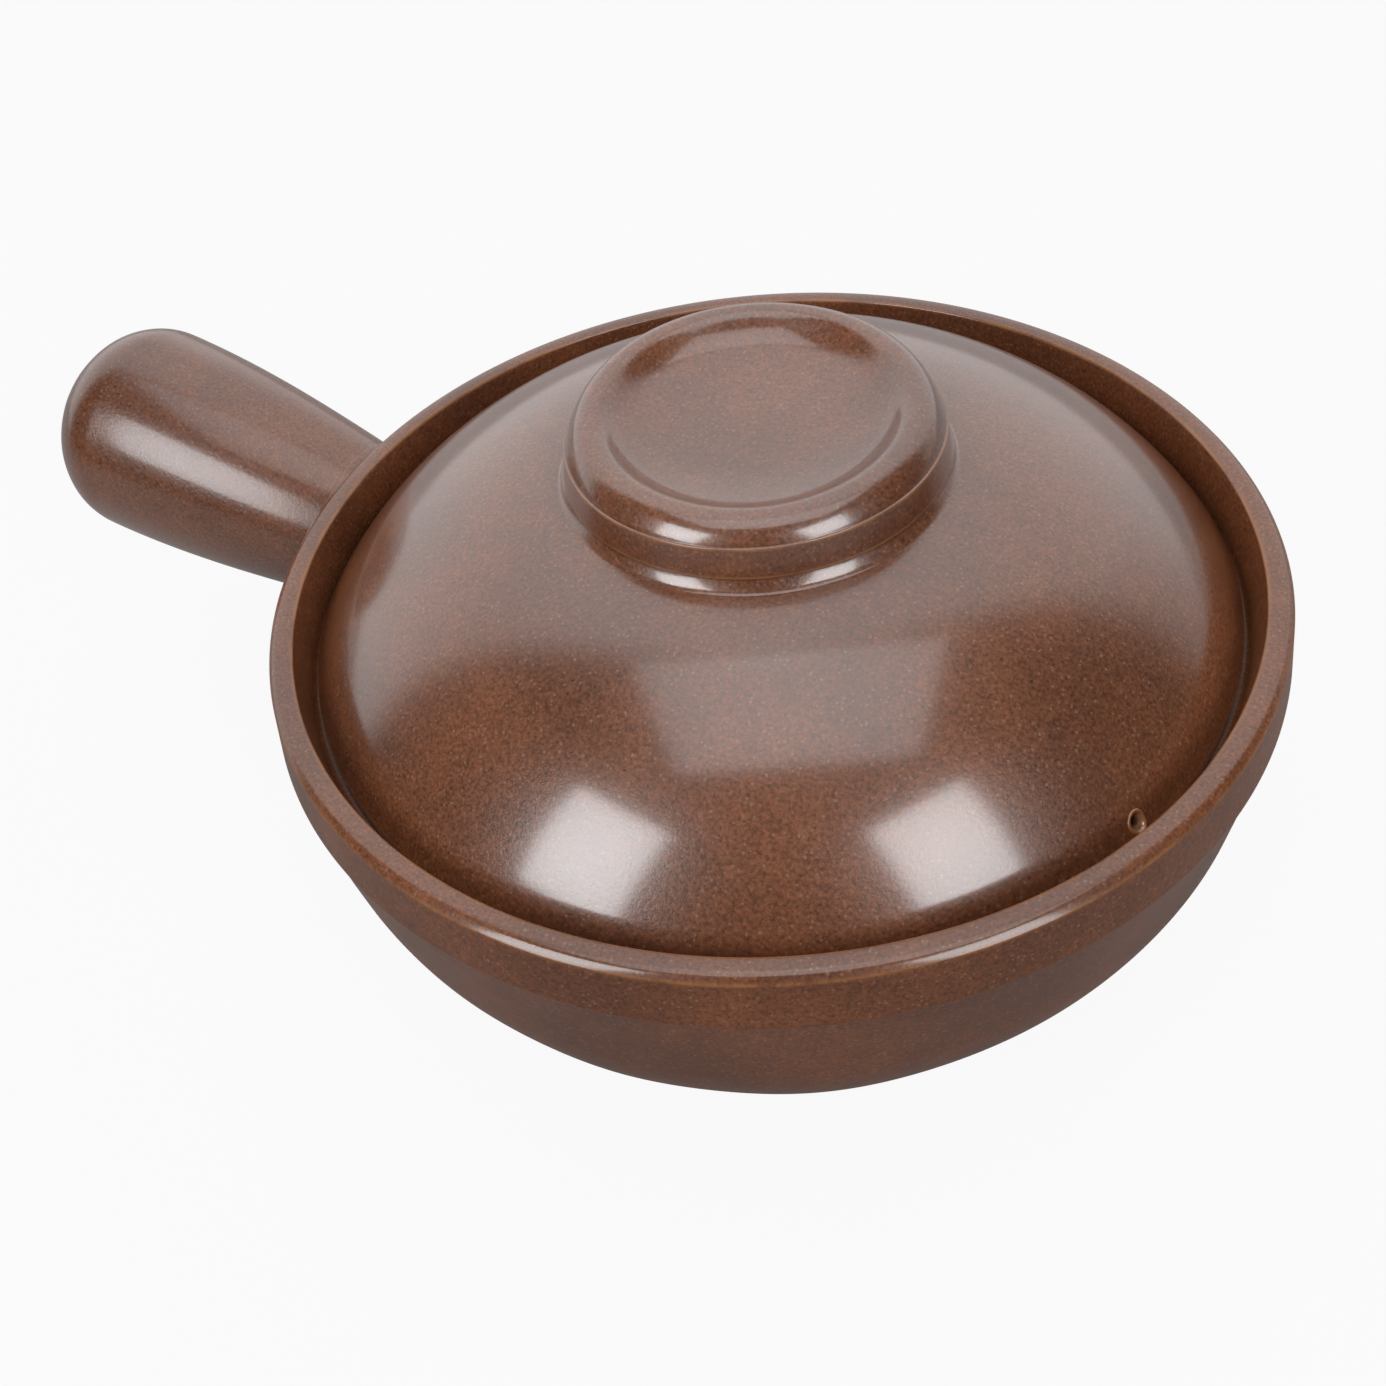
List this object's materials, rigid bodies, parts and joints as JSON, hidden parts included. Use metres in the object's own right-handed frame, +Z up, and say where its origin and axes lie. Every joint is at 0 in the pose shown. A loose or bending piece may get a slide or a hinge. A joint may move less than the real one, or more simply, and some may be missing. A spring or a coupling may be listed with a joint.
{
  "type": "lidded clay pot",
  "caption": "Round glazed clay cooking pot with one stub handle and a domed lid with a ring knob, for stovetop simmering. The lid lifts off.",
  "frame": {"origin": "centre of the flat base that the pot stands on", "axes": "+Z up along the pot's round axis, the handle points along -X"},
  "size_m": [0.269, 0.1936, 0.0992],
  "materials": {
    "bowl_glaze": "satin-gloss reddish-brown glaze with fine speckle",
    "handle_glaze": "satin-gloss reddish-brown glaze with fine speckle",
    "collar_glaze": "satin-gloss reddish-brown glaze with fine speckle",
    "lid_glaze": "satin-gloss reddish-brown glaze with fine speckle",
    "knob_glaze": "satin-gloss reddish-brown glaze with fine speckle"
  },
  "bodies": {
    "pot": {"bowl": "bowl_glaze", "handle": "handle_glaze", "handle_collar": "collar_glaze"},
    "lid": {"lid": "lid_glaze", "knob": "knob_glaze"}
  },
  "joints": [
    {"name": "lid_lift", "type": "slide", "parent": "pot", "child": "lid", "axis": [0, 0, 1], "range_m": [0, 0.12]}
  ]
}
